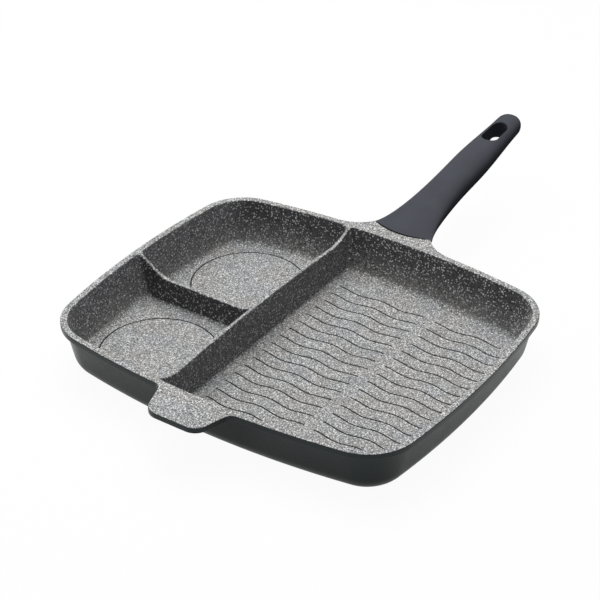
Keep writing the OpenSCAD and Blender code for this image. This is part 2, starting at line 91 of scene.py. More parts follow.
# Grip
GRIP_L, GRIP_ANGLE = 180.4, 7.85
GRIP_ROOT_W, GRIP_W, GRIP_TIP_W = 53.4, 29.0, 21.6
GRIP_ROOT_RISE, GRIP_RISE, GRIP_TIP_RISE = 1.5, 10.0, 7.6
GRIP_ROOT_BELLY, GRIP_BELLY, GRIP_TIP_BELLY = 11.0, 11.3, 9.0
GRIP_ROOT_DROP, GRIP_LIFT = 1.5, 3.7
GRIP_FLARE_L, FLARE_POWER = 90.0, 2.2
GRIP_TAPER_AT, GRIP_NOSE, GRIP_TRIM = 105.0, 9.1, 0.03
GRIP_EDGE_L, GRIP_EDGE_SHRINK = 0.35, 0.018
GRIP_FULLNESS, ROOT_FULLNESS, NOSE_FULLNESS, NOSE_FLATTEN = 2.4, 1.6, 2.67, 0.6
SEAM_FADE, SEAM_UNDERCUT = 30.0, 2.0

# How much wider the seam is in the middle and at the sides, how far along the grip that fades out, half the
# width over which the seam stays as wide as in the middle, and the power by which it then closes
SEAM_OPEN, SEAM_OPEN_END, SEAM_OPEN_L, SEAM_OPEN_W, SEAM_OPEN_POWER = 1.3, -0.15, 6.0, 16.0, 4

# Hanging slot: the turns of its rounded mouths in degrees, with a straight lead outside each mouth
SLOT_L, SLOT_W, SLOT_BACK = 28.9, 14.0, 31.3
SLOT_EDGE_R, SLOT_DRAFT, SLOT_DEPTH = 1.0, 2.5, 16.0
SLOT_EDGE_TURNS, SLOT_LEAD, SLOT_CLEAR = (65, 50, 35, 20, 0), 1.6, 6.0

# The screw's recess in the grip's belly, placed from the tang that the screw holds
TANG_T, TANG_COVER, TANG_ROOT_L = 6.0, 2.4, 14.5
SCREW_AT, SCREW_SEAT_T, RECESS_R, RECESS_H = 36.0, 3.0, 4.8, 22.6

# Fineness of the meshes, in steps. The coating covers the first steps of the lip's edge, and the shaft's
# rings crowd towards the boss by a power.
CORNER_STEPS, JOIN_STEPS, RIM_EDGE_STEPS, WALL_STEPS = 24, 8, 5, 6
LIP_EDGE_STEPS, COATED_STEPS = 6, 2
RING_STEPS, WAVE_STEPS, LINE_END_STEPS = 144, 18, 6
SECTION_STEPS, SHAFT_STEPS, SHAFT_CROWDING, NOSE_STEPS = 96, 63, 1.25, 14

# Sharpest bends that are shaded smooth, in degrees, and how much larger faces lead the shading
BODY_CREASE, GRIP_CREASE, NORMAL_WEIGHT = 32.0, 40.0, 60

HALF_W, HALF_D = RIM_W / 2, RIM_D / 2
SIDE_C, END_C = HALF_W - SIDE_R, HALF_D - END_R
SEAM_Y = HALF_D + SEAM_OUT
SEAM_CENTRE = np.array([0.0, SEAM_Y + SEAM_R])
GRIP_Y = SEAM_Y + SEAM_GAP


def sin(angle):
    return np.sin(np.radians(angle))


def cos(angle):
    return np.cos(np.radians(angle))


def tan(angle):
    return np.tan(np.radians(angle))


def heading(v):
    """Direction of a plan vector, in degrees."""
    return math.degrees(math.atan2(v[1], v[0]))


def corner_centre():
    """The corner's arc touches the side's and the end's, so its centre is a known distance from theirs."""
    to_side, to_end = SIDE_R - CORNER_R, END_R - CORNER_R
    apart = math.hypot(SIDE_C, END_C)
    along = (to_side**2 - to_end**2 + apart**2) / (2 * apart)
    across = math.sqrt(to_side**2 - along**2)
    return np.array(
        [SIDE_C - (along * SIDE_C + across * END_C) / apart, (along * END_C - across * SIDE_C) / apart]
    )


CORNER_C = corner_centre()
SIDE_END = heading(CORNER_C - (SIDE_C, 0))
CORNER_END = heading(CORNER_C - (0, END_C))


def arc(centre, r, start, end, n):
    """n + 1 points of an arc, from the direction start to the direction end."""
    a = np.linspace(start, end, n + 1)
    return np.asarray(centre, float) + r * np.column_stack([cos(a), sin(a)])


def straight(a, b, n):
    return np.linspace(a, b, n + 1)


def flip_x(points):
    return points[::-1] * (-1, 1)


def flip_y(points):
    return points[::-1] * (1, -1)


def joined(*runs):
    """Runs of points as one closed outline, without the repeats where they touch."""
    points = np.concatenate(runs)
    keep = np.linalg.norm(points - np.roll(points, 1, axis=0), axis=1) > TINY
    return points[keep]


def outward(outline):
    """Outward normals of a closed outline that runs anticlockwise."""
    ahead = np.roll(outline, -1, axis=0) - outline
    behind = outline - np.roll(outline, 1, axis=0)
    ahead /= np.linalg.norm(ahead, axis=1)[:, None]
    behind /= np.linalg.norm(behind, axis=1)[:, None]
    t = ahead + behind
    t /= np.linalg.norm(t, axis=1)[:, None]
    return np.column_stack([t[:, 1], -t[:, 0]])


def inside(points, outline):
    """Which of the points lie inside a closed outline."""
    result = np.zeros(len(points), bool)
    x, y = points[:, 0], points[:, 1]
    for (x0, y0), (x1, y1) in zip(outline, np.roll(outline, -1, axis=0)):
        if y0 == y1:
            continue
        crosses = (y0 > y) != (y1 > y)
        result ^= crosses & (x < x0 + (y - y0) * (x1 - x0) / (y1 - y0))
    return result


# Places of the pan's finishes in its material slots
COATED, PAINTED = 0, 1


class Skin:
    """Vertices and faces of a mesh as it is put together, each face in the finish set at the time."""

    def __init__(self):
        self.rings = []
        self.count = 0
        self.faces = []
        self.finishes = []
        self.finish = COATED

    def add(self, plan, z):
        """Adds points at the heights z and returns their indices."""
        z = np.broadcast_to(z, len(plan))
        self.rings.append(np.column_stack([plan, z]))
        first = self.count
        self.count += len(plan)
        return np.arange(first, self.count)

    def face(self, corners):
        self.faces += corners.tolist()
        self.finishes += [self.finish] * len(corners)

    def strip(self, a, b):
        """Joins two closed rings of equal length, the second above or inside the first."""
        a1, b1 = np.roll(a, -1), np.roll(b, -1)
        self.face(np.column_stack([a, a1, b1, b]))

    def sheet(self, loops, holes=(), up=True):
        """Fills the first loop of (plan, indices) with triangles that keep the edges of them all."""
        plan = np.concatenate([p for p, _ in loops])
        index = np.concatenate([i for _, i in loops])
        edges, first = [], 0
        for p, _ in loops:
            k = np.arange(first, first + len(p))
            edges += np.column_stack([k, np.roll(k, -1)]).tolist()
            first += len(p)
        made = delaunay_2d_cdt([Vector(p) for p in plan], edges, [], 0, TINY)
        corners = np.array([tuple(v) for v in made[0]])
        triangles = np.array(made[2])
        source = np.array([first_of[0] if first_of else -1 for first_of in made[3]])
        middle = corners[triangles].mean(axis=1)
        keep = inside(middle, loops[0][0]) & (source[triangles] >= 0).all(axis=1)
        for hole in holes:
            keep &= ~inside(middle, hole)
        kept = index[source[triangles[keep]]]
        self.face(kept if up else kept[:, ::-1])

    def mesh(self, name):
        data = bpy.data.meshes.new(name)
        data.from_pydata((np.concatenate(self.rings) * MM).tolist(), [], self.faces)
        data.polygons.foreach_set("material_index", self.finishes)
        for slot in ("coated", "painted"):
            data.materials.append(bpy.data.materials.get(slot) or bpy.data.materials.new(slot))
        return data


def wall_inset(z, top, draft, r):
    """Inset of a wall at height z: a straight lean from its top, then a fillet into the floor."""
    zc = BASE_T + r
    centre = top + tan(draft) * (PAN_H - zc) + r / cos(draft)
    if z >= zc - r * sin(draft):
        return top + tan(draft) * (PAN_H - z)
    return centre - math.sqrt(max(r * r - (zc - z) ** 2, 0))


def wall_levels():
    """Heights at which a compartment's outline is worked out, closer together in the fillets."""
    turns = np.linspace(0, 1, 9)
    fillet = [BASE_T + r * (1 - cos(90 * t)) for r in (FOOT_R, FLOOR_R) for t in turns]
    return np.unique(np.round(np.concatenate([fillet, np.linspace(BASE_T + FLOOR_R, PAN_H, 14)]), 4))


def large_pocket(z):
    """Outline of the large compartment at height z, anticlockwise from the middle of the right wall."""
    wall = wall_inset(z, RIM_T, INNER_DRAFT, FLOOR_R)
    face = wall_inset(z, DIVIDER_T / 2, DIVIDER_DRAFT, FOOT_R) - DIVIDER_X
    join_x = face + JOIN_R
    join_y = END_C + math.sqrt((END_R - wall - JOIN_R) ** 2 - join_x**2)
    join_end = heading((join_x, join_y - END_C))
    half = np.concatenate(
        [
            arc((SIDE_C, 0), SIDE_R - wall, 0, SIDE_END, 36),
            arc(CORNER_C, CORNER_R - wall, SIDE_END, CORNER_END, CORNER_STEPS)[1:],
            arc((0, END_C), END_R - wall, CORNER_END, join_end, 56)[1:],
            arc((join_x, join_y), JOIN_R, join_end, 180, JOIN_STEPS)[1:],
            straight((face, join_y), (face, 0), 60)[1:],
        ]
    )
    return np.concatenate([half, flip_y(half)[1:-1]])


def small_pocket(z):
    """Outline of the rear small compartment at height z, anticlockwise from the long divider."""
    wall = wall_inset(z, RIM_T, INNER_DRAFT, FLOOR_R)
    inset = wall_inset(z, DIVIDER_T / 2, DIVIDER_DRAFT, FOOT_R)
    face = -DIVIDER_X - inset
    join_x = face - JOIN_R
    join_y = END_C + math.sqrt((END_R - wall - JOIN_R) ** 2 - join_x**2)
    side_join_y = inset + JOIN_R
    side_join_x = -SIDE_C - math.sqrt((SIDE_R - wall - JOIN_R) ** 2 - side_join_y**2)
    join_end = heading((join_x, join_y - END_C))
    side_end = heading((side_join_x + SIDE_C, side_join_y))
    left_corner = CORNER_C * (-1, 1)
    return np.concatenate(
        [
            arc((join_x, join_y), JOIN_R, 0, join_end, JOIN_STEPS),
            arc((0, END_C), END_R - wall, join_end, 180 - CORNER_END, 36)[1:],
            arc(left_corner, CORNER_R - wall, 180 - CORNER_END, 180 - SIDE_END, CORNER_STEPS)[1:],
            arc((-SIDE_C, 0), SIDE_R - wall, 180 - SIDE_END, side_end, 32)[1:],
            arc((side_join_x, side_join_y), JOIN_R, side_end, 270, JOIN_STEPS)[1:],
            straight((side_join_x, inset), (join_x, inset), 48)[1:],
            arc((join_x, side_join_y), JOIN_R, 270, 360, JOIN_STEPS)[1:],
            straight((face, side_join_y), (face, join_y), 48)[1:-1],
        ]
    )


def long_crest(y):
    """Height of the long divider's top: a slight crown that flares up to the rim at both ends."""
    y = np.abs(y)
    reach = END_C + math.sqrt((END_R - RIM_T) ** 2 - DIVIDER_X**2)
    crown = reach - FLARE_RUN
    sag = CROWN_END_DROP - CROWN_DROP
    crown_r = (crown**2 + sag**2) / (2 * sag)
    flare_r = (FLARE_RUN**2 + CROWN_END_DROP**2) / (2 * CROWN_END_DROP)
    middle = PAN_H - CROWN_DROP - crown_r + np.sqrt(crown_r**2 - np.minimum(y, crown) ** 2)
    run = np.clip(y - crown, 0, FLARE_RUN)
    end = PAN_H - CROWN_END_DROP + flare_r - np.sqrt(flare_r**2 - run**2)
    return np.minimum(np.where(y < crown, middle, end), PAN_H)


def cross_crest(x):
    """Height of the cross divider's top: a slope down from the left wall, a flat stretch and a flare."""
    left = HALF_W - RIM_T
    near = DIVIDER_X + DIVIDER_T / 2
    top = PAN_H - CROSS_DROP
    climb = CROSS_DROP - CROWN_DROP
    run = math.sqrt(CROSS_FLARE_R**2 - (CROSS_FLARE_R - climb) ** 2)
    foot_z = CROSS_FOOT_R * (1 - cos(CROSS_SLOPE))
    foot_x = left - (CROSS_DROP - foot_z) / tan(CROSS_SLOPE) - CROSS_FOOT_R * sin(CROSS_SLOPE)
    u = -x
    flare = top + CROSS_FLARE_R - np.sqrt(CROSS_FLARE_R**2 - np.clip(near + run - u, 0, run) ** 2)
    bend = np.clip(u - foot_x, 0, CROSS_FOOT_R * sin(CROSS_SLOPE))
    foot = CROSS_FOOT_R - np.sqrt(CROSS_FOOT_R**2 - bend**2)
    slope = np.clip(u - foot_x - CROSS_FOOT_R * sin(CROSS_SLOPE), 0, None) * tan(CROSS_SLOPE)
    return np.minimum(flare + foot + slope, PAN_H)


def top_z(plan):
    """Height of the upper face of the rim and the dividers at each point of the plan."""
    x, y = plan[:, 0], plan[:, 1]
    near = DIVIDER_T / 2 + JOIN_R + CREST_MARGIN
    on_long = np.abs(x + DIVIDER_X) < near
    on_cross = (x < -DIVIDER_X - DIVIDER_T / 2 + TINY) & (np.abs(y) < near)
    z = np.where(on_long, long_crest(y), PAN_H)
    return np.where(on_cross, cross_crest(x), z)


def compartment(skin, pocket):
    """Adds a compartment's wall, from the rounded edge at its top down to its floor."""
    levels = wall_levels()
    stack = np.array([pocket(z) for z in levels])

    def on_wall(z):
        """The point of each wall line at its own height z."""
        k = np.clip(np.searchsorted(levels, z) - 1, 0, len(levels) - 2)
        t = (z - levels[k]) / (levels[k + 1] - levels[k])
        i = np.arange(stack.shape[1])
        return stack[k, i] * (1 - t)[:, None] + stack[k + 1, i] * t[:, None]

    # The height that each wall line reaches depends on where it then is, so it is found in rounds
    z = np.full(stack.shape[1], PAN_H)
    for _ in range(12):
        plan = on_wall(z)
        z = top_z(plan + outward(plan) * RIM_EDGE_R)
    out = outward(on_wall(z))
    rings = []
    for a in np.linspace(90, 0, RIM_EDGE_STEPS + 1):
        zz = z - RIM_EDGE_R * (1 - sin(a))
        rings.append((on_wall(zz) + out * RIM_EDGE_R * (1 - cos(a)), zz))
    straight_foot = BASE_T + FLOOR_R
    for t in np.linspace(0, 1, WALL_STEPS + 1)[1:]:
        zz = (z - RIM_EDGE_R) * (1 - t) + straight_foot * t
        rings.append((on_wall(zz), zz))
    below = levels < straight_foot - TINY
    for level, plan in zip(levels[below][::-1], stack[below][::-1]):
        rings.append((plan, np.full(len(z), level)))
    made = [skin.add(plan, zz) for plan, zz in rings]
    for upper, lower in zip(made, made[1:]):
        skin.strip(upper, lower)
    return (rings[0][0], made[0]), (rings[-1][0], made[-1])


def groove(skin, half_plan):
    """Loops of an engraved groove: its two edges on the floor, its two edges at the bottom."""
    edge = half_plan(LINE_W / 2)
    bottom = half_plan(LINE_W / 4)
    return [(edge, skin.add(edge, BASE_T)), (bottom, skin.add(bottom, BASE_T - LINE_DEEP))]


def ring_loops(skin, y):
    """Loops of an egg ring's groove, from its outer edge to its inner one."""
    loops = []
    for r, depth in (
        (RING_R + LINE_W / 2, 0),
        (RING_R + LINE_W / 4, LINE_DEEP),
        (RING_R - LINE_W / 4, LINE_DEEP),
        (RING_R - LINE_W / 2, 0),
    ):
        plan = arc((-RING_X, y), r, 0, 360, RING_STEPS)[:-1]
        loops.append((plan, skin.add(plan, BASE_T - depth)))
    return loops


def wavy_groove(skin, x0, x1, y):
    """A wavy line that starts at the top of a wave, with round ends."""
    steps = max(int((x1 - x0) / WAVE_L * WAVE_STEPS), 4)
    s = np.linspace(0, x1 - x0, steps + 1)
    line = np.column_stack([x0 + s, y + WAVE_RISE * cos(360 * s / WAVE_L)])
    slope = -WAVE_RISE * np.radians(360 / WAVE_L) * sin(360 * s / WAVE_L)
    normal = np.column_stack([-slope, np.ones_like(slope)])
    normal /= np.linalg.norm(normal, axis=1)[:, None]

    def around(half):
        turn = heading((1, slope[-1]))
        end = arc(line[-1], half, turn - 90, turn + 90, LINE_END_STEPS)[1:-1]
        start = arc(line[0], half, 90, 270, LINE_END_STEPS)[1:-1]
        return np.concatenate([line - normal * half, end, (line + normal * half)[::-1], start])

    return groove(skin, around)


def wall_x(y, off):
    """X of the inner wall's outline at y, moved inwards by off."""
    if abs(y) < (SIDE_R - off) * sin(SIDE_END):
        return SIDE_C + math.sqrt((SIDE_R - off) ** 2 - y * y)
    return CORNER_C[0] + math.sqrt(max((CORNER_R - off) ** 2 - (abs(y) - CORNER_C[1]) ** 2, 0))


def wavy_loops(skin):
    """Both columns of wavy lines."""
    floor_inset = wall_inset(BASE_T, RIM_T, INNER_DRAFT, FLOOR_R)
    each_way = int((HALF_D - floor_inset - WAVE_END_MARGIN) / WAVE_PITCH)
    left = WAVE_GAP - DIVIDER_X
    right = left + WAVE_COUNT * WAVE_L + COLUMN_GAP
    loops = []
    for k in range(-each_way, each_way + 1):
        y = k * WAVE_PITCH - WAVE_SHIFT
        loops += wavy_groove(skin, left, left + WAVE_COUNT * WAVE_L, y)
        loops += wavy_groove(skin, right, wall_x(y, floor_inset + WAVE_SIDE_MARGIN), y - COLUMN_SHIFT)
    return loops


def tab_parts(tab):
    """Centre of a tab's flare, the direction in which it meets the end's arc, and its corner's centre."""
    slant = tab.slant
    tip = HALF_D + tab.reach
    side = tab.width / 2 * cos(slant) + tip * sin(slant)
    d = side + tab.flare_r - END_C * sin(slant)
    q = math.sqrt((END_R + tab.flare_r) ** 2 - d * d)
    flare_c = np.array([d * cos(slant) - sin(slant) * q, END_C + d * sin(slant) + cos(slant) * q])
    meets = heading(flare_c - (0, END_C))
    corner_y = tip - tab.corner_r
    corner_c = np.array([(side - tab.corner_r - corner_y * sin(slant)) / cos(slant), corner_y])
    return flare_c, meets, corner_c


def plain_quarter(meets):
    """From the middle of the right side to where a tab starts at the back."""
    return [
        arc((SIDE_C, 0), SIDE_R, 0, SIDE_END, 40),
        arc(CORNER_C, CORNER_R, SIDE_END, CORNER_END, 32),
        arc((0, END_C), END_R, CORNER_END, meets, 40),
    ]


def rounded_tip(before, tip, after, r, n):
    """An arc of radius r that takes off the sharp corner at tip, between two neighbouring points."""
    a = (before - tip) / np.linalg.norm(before - tip)
    b = (after - tip) / np.linalg.norm(after - tip)
    half = math.acos(np.clip(a @ b, -1, 1)) / 2
    centre = tip + (a + b) / np.linalg.norm(a + b) * r / math.sin(half)
    touch = r / math.tan(half)
    start = heading(tip + a * touch - centre)
    sweep = (heading(tip + b * touch - centre) - start + 180) % 360 - 180
    return arc(centre, r, start, start + sweep, n), touch


def lip_outline():
    """Outer edge of the lip, with the lug in front and the boss cut by the seam behind, and how round
    its upper edge is at each point."""
    flare_c, meets, _ = tab_parts(BOSS)
    # The direction in which the flare meets the seam, by halving
    low, high = BOSS.slant, meets
    for _ in range(60):
        mid = (low + high) / 2
        on_flare = flare_c - BOSS.flare_r * np.array([cos(mid), sin(mid)])
        if np.linalg.norm(on_flare - SEAM_CENTRE) < SEAM_R:
            low = mid
        else:
            high = mid
    flare = arc(flare_c, -BOSS.flare_r, meets, high, 30)
    tip = flare[-1]
    seam_start = heading(tip - SEAM_CENTRE)
    seam = arc(SEAM_CENTRE, SEAM_R, seam_start, -90, 30)
    tip_arc, touch = rounded_tip(flare[-2], tip, seam[1], SEAM_TIP_R, 8)
    clear = touch * 1.1
    flare = flare[np.linalg.norm(flare - tip, axis=1) > clear]
    seam = seam[np.linalg.norm(seam - tip, axis=1) > clear]
    back = np.concatenate([*plain_quarter(meets), flare, tip_arc, seam])

    lug_flare_c, lug_meets, lug_corner_c = tab_parts(LUG)
    lug = np.concatenate(
        [
            *plain_quarter(lug_meets),
            arc(lug_flare_c, -LUG.flare_r, lug_meets, LUG.slant, 12),
            arc(lug_corner_c, LUG.corner_r, LUG.slant, 90, 14),
        ]
    )
    outline = joined(back, flip_x(back), -np.concatenate([lug, flip_x(lug)]))
    from_seam = np.abs(np.linalg.norm(outline - SEAM_CENTRE, axis=1) - SEAM_R)
    near = (outline[:, 1] > 0) & (np.abs(outline[:, 0]) < abs(tip[0]) + SEAM_EDGE_REACH)
    share = np.where(near, np.clip(from_seam / SEAM_EDGE_RUN, 0, 1), 1)
    return outline, SEAM_EDGE_R + (LIP_EDGE_R - SEAM_EDGE_R) * share


def wall_ring(inset, z):
    """Ring of the outer wall at height z."""
    quarter = np.concatenate(
        [
            arc((SIDE_C, 0), SIDE_R - inset, 0, SIDE_END, 24),
            arc(CORNER_C, CORNER_R - inset, SIDE_END, CORNER_END, 28)[1:],
            arc((0, END_C), END_R - inset, CORNER_END, 90, 24)[1:],
        ]
    )
    half = np.concatenate([quarter, flip_x(quarter)[1:]])
    return joined(half, -half), z


def outer_rings():
    """Rings of the outer wall, from under the lip down to the base."""
    lean = [
        (LIP_OUT + tan(OUTER_DRAFT) * (PAN_H - LIP_H - z), z)
        for z in np.linspace(PAN_H - LIP_H, BASE_R * (1 - sin(OUTER_DRAFT)), 6)
    ]
    centre = LIP_OUT + tan(OUTER_DRAFT) * (PAN_H - LIP_H - BASE_R) + BASE_R / cos(OUTER_DRAFT)
    turned = [
        (centre - BASE_R * cos(a), BASE_R * (1 - sin(a))) for a in np.linspace(OUTER_DRAFT, 90, 15)[1:]
    ]
    return [wall_ring(inset, z) for inset, z in [*lean, *turned, (centre + BASE_MARGIN, 0.0)]]


def body_skin():
    """The pan without its bracket and tang, as one closed skin."""
    skin = Skin()
    tops, floors = [], []
    for pocket in (large_pocket, small_pocket, lambda z: flip_y(small_pocket(z))):
        top, floor = compartment(skin, pocket)
        tops.append(top)
        floors.append(floor)
    skin.sheet([floors[0], *wavy_loops(skin)])
    skin.sheet([floors[1], *ring_loops(skin, RING_Y)])
    skin.sheet([floors[2], *ring_loops(skin, -RING_Y)])

    outline, edge_r = lip_outline()
    out = outward(outline)
    profile = [(1 - cos(a), -(1 - sin(a))) for a in np.linspace(90, 0, LIP_EDGE_STEPS + 1)]
    rings = [(outline - out * (edge_r * off)[:, None], PAN_H + edge_r * dz) for off, dz in profile]
    under_r = np.minimum(edge_r, LIP_UNDER_R)
    low = PAN_H - LIP_H
    rings += [
        (outline - out * (under_r * (1 - cos(a)))[:, None], low + under_r * (1 - sin(a)))
        for a in np.linspace(0, 90, 4)
    ]
    made = [skin.add(plan, z) for plan, z in rings]
    for k, (upper, lower) in enumerate(zip(made, made[1:])):
        skin.finish = COATED if k < COATED_STEPS else PAINTED
        skin.strip(lower, upper)
    skin.finish = COATED
    skin.sheet([(rings[0][0], made[0]), *tops], holes=[plan for plan, _ in tops])
    skin.finish = PAINTED

    walls = outer_rings()
    wall_made = [skin.add(plan, z) for plan, z in walls]
    for upper, lower in zip(wall_made, wall_made[1:]):
        skin.strip(lower, upper)
    skin.sheet([(rings[-1][0], made[-1]), (walls[0][0], wall_made[0])], holes=[walls[0][0]], up=False)
    skin.sheet([(walls[-1][0], wall_made[-1])], up=False)
    return skin


def section(half, side_z, rise, drop, belly_n):
    """Superellipse section of the grip, clockwise seen from the pan: points of (x, z)."""
    t = np.linspace(0, 360, SECTION_STEPS, endpoint=False)
    n = np.where(sin(t) > 0, GRIP_FULLNESS, belly_n)
    u = np.sign(cos(t)) * np.abs(cos(t)) ** (2 / n)
    v = np.sign(sin(t)) * np.abs(sin(t)) ** (2 / n)
    return np.column_stack([half * u, side_z + np.where(v > 0, rise, drop) * v])


def stood(plan, y):
    """A section's points of (x, z) as a ring of (x, y, z) points."""
    return np.column_stack([plan[:, 0], y, plan[:, 1]])


def seam_curve(x):
    """Y of the seam at each x."""
    return SEAM_Y + SEAM_R - np.sqrt(SEAM_R**2 - x**2)


def tube(rings):
    """A closed skin through rings of (x, y, z) points, with a fan on each end."""
    skin = Skin()
    skin.finish = PAINTED
    made = [skin.add(ring[:, :2], ring[:, 2]) for ring in rings]
    for a, b in zip(made, made[1:]):
        skin.strip(b, a)
    for ring, index, first in ((rings[0], made[0], True), (rings[-1], made[-1], False)):
        middle = skin.add(ring.mean(axis=0)[None, :2], ring[:, 2].mean())[0]
        a, b = index, np.roll(index, -1)
        fan = np.column_stack([a, b, np.full(len(a), middle)])
        skin.face(fan if first else fan[:, ::-1])
    return skin


def in_back_wall(x, z):
    """Y of a surface that runs inside the back wall, at each x and z."""
    inset = LIP_OUT + tan(OUTER_DRAFT) * np.maximum(PAN_H - LIP_H - z, 0) + BRACKET_SINK
    return END_C + np.sqrt((END_R - inset) ** 2 - x**2)


def bracket_skin():
    """The bracket under the lip that carries the grip: from inside the back wall out to its rounded edge
    at the seam, and from there the neck."""
    side_z = PAN_H - LIP_H / 2
    rise = LIP_H / 2 - BRACKET_TOP
    drop = GRIP_BELLY + GRIP_ROOT_DROP - LIP_H / 2 - BRACKET_BELLY
    half = GRIP_ROOT_W / 2 - BRACKET_SIDE
    r = BRACKET_EDGE_R
    plan = section(half, side_z, rise, drop, ROOT_FULLNESS)
    rings = [stood(plan, in_back_wall(plan[:, 0], plan[:, 1]))]
    for back, shrink in ((BRACKET_L, 0), (r, 0), (0.3 * r, 0.3 * r), (0, r)):
        k, kz = 1 - shrink / half, 1 - shrink / drop
        plan = section(half * k, side_z, rise * kz, drop * kz, ROOT_FULLNESS)
        rings.append(stood(plan, seam_curve(plan[:, 0]) - BRACKET_FIT - back))
    sunk = NECK_TOP / 2
    plan = section(half - NECK_SIDE, side_z - sunk, rise - sunk, drop - NECK_BELLY, ROOT_FULLNESS)
    for ahead in (-BRACKET_FIT, NECK_L):
        rings.append(stood(plan, seam_curve(plan[:, 0]) + ahead))
    return tube(rings)


def flare_at(s):
    """Share of the grip's flare that is left at a distance s along it."""
    return max(1 - s / GRIP_FLARE_L, 0) ** FLARE_POWER


def taper_at(s):
    """Share of the taper towards the grip's tip that is reached at a distance s along it."""
    u = min(max((s - GRIP_TAPER_AT) / (GRIP_L - GRIP_TAPER_AT), 0), 1)
    return u * u * (3 - 2 * u)


def mixed(middle, root, tip, s):
    """A measure of the grip at a distance s along it, from what it is at three places."""
    return middle + (root - middle) * flare_at(s) + (tip - middle) * taper_at(s)


def grip_side_z(s):
    """Height of the grip's side line, where its section is widest."""
    return PAN_H - GRIP_ROOT_DROP - GRIP_LIFT + tan(GRIP_ANGLE) * s + GRIP_LIFT * flare_at(s) ** 2


def grip_size(s):
    """Half the grip's width, and its rise and drop from the side line, at a distance s along it."""
    half = mixed(GRIP_W, GRIP_ROOT_W, GRIP_TIP_W, s) / 2
    rise = mixed(GRIP_RISE, GRIP_ROOT_RISE, GRIP_TIP_RISE, s)
    drop = mixed(GRIP_BELLY, GRIP_ROOT_BELLY, GRIP_TIP_BELLY, s)
    return half, rise, drop


def grip_ring(s, k, kz):
    """One ring of the grip at a distance s, with its width scaled by k and its height by kz."""
    half, rise, drop = grip_size(s)
    belly_n = GRIP_FULLNESS + (ROOT_FULLNESS - GRIP_FULLNESS) * flare_at(s)
    plan = section((half - GRIP_TRIM) * k, grip_side_z(s), (rise - GRIP_TRIM) * kz, drop * kz, belly_n)
    bow = max(1 - s / SEAM_FADE, 0) * (seam_curve(plan[:, 0]) - SEAM_Y)
    near_end = np.clip((np.abs(plan[:, 0]) - SEAM_OPEN_W) / (GRIP_ROOT_W / 2 - SEAM_OPEN_W), 0, 1)
    width = SEAM_OPEN + (SEAM_OPEN_END - SEAM_OPEN) * near_end**SEAM_OPEN_POWER
    opened = width * max(1 - s / SEAM_OPEN_L, 0)
    return stood(plan, GRIP_Y + s + bow + opened)


def grip_skin():
    """The grip without its slot and recess, from the undercut face at the seam to the rounded nose."""
    deep = [grip_ring(SEAM_UNDERCUT, k, k) for k in (0.02, 0.5, 0.9, 1 - 4 * GRIP_EDGE_SHRINK)]
    edge = []
    for s, shrink in ((SEAM_UNDERCUT / 2, 3 * GRIP_EDGE_SHRINK), (0, GRIP_EDGE_SHRINK)):
        edge.append(grip_ring(s, 1 - shrink, 1 - shrink))
    for a in (30, 60, 90):
        k = 1 - GRIP_EDGE_SHRINK * (1 - sin(a))
        edge.append(grip_ring(GRIP_EDGE_L * (1 - cos(a)), k, k))
    straight_l = GRIP_L - GRIP_NOSE
    crowded = np.linspace(0, 1, SHAFT_STEPS + 1)[1:] ** SHAFT_CROWDING
    along = GRIP_EDGE_L + (straight_l - GRIP_EDGE_L) * crowded
    shaft = [grip_ring(s, 1, 1) for s in along]
    # The nose stops just short of its tip, and the tube closes it
    nose = []
    for a in np.linspace(0, 89, NOSE_STEPS + 1)[1:]:
        u = sin(a)
        shrink = (1 - u**NOSE_FULLNESS) ** (1 / NOSE_FULLNESS)
        nose.append(grip_ring(straight_l + GRIP_NOSE * u, shrink, 1 - NOSE_FLATTEN * (1 - shrink)))
    return tube(deep + edge + shaft + nose)


def new_object(name, data):
    made = bpy.data.objects.new(name, data)
    bpy.context.scene.collection.objects.link(made)
    return made


def applied(obj):
    """Bakes the object's modifiers into its mesh."""
    graph = bpy.context.evaluated_depsgraph_get()
    old = obj.data
    made = bpy.data.meshes.new_from_object(obj.evaluated_get(graph))
    made.name = obj.name
    obj.modifiers.clear()
    obj.data = made
    bpy.data.meshes.remove(old)


def combine(obj, other, operation):
    """Joins the other solid to the object, or cuts it out, and drops it."""
    mod = obj.modifiers.new("boolean", "BOOLEAN")
    mod.operation = operation
    mod.solver = "MANIFOLD"
    mod.object = other
    applied(obj)
    bpy.data.objects.remove(other)


def shade(obj, angle):
    """Smooth shading, with edges sharper than the angle kept crisp."""
    obj.data.shade_smooth()
    obj.data.set_sharp_from_angle(angle=math.radians(angle))
    mod = obj.modifiers.new("normals", "WEIGHTED_NORMAL")
    mod.keep_sharp = True
    mod.weight = NORMAL_WEIGHT
    applied(obj)


def place(obj, nodes):
    """Hides the CAD nodes that the object stands for and attaches it to the root body."""
    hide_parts(*nodes)
    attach(obj, "root")


def make_body():
    body = new_object("cast_body", body_skin().mesh("cast_body"))
    combine(body, new_object("bracket", bracket_skin().mesh("bracket")), "UNION")
    shade(body, BODY_CREASE)
    place(body, ["pan_body"])
    return body


def grip_surface(point, side):
    """Height of the grip's top (side 1) or belly (side -1) over a point of the plan."""
    x, s = point[0], point[1] - GRIP_Y
    half, rise, drop = grip_size(s)
    share = (1 - (abs(x) / half) ** GRIP_FULLNESS) ** (1 / GRIP_FULLNESS)
    return grip_side_z(s) + (rise if side > 0 else -drop) * share


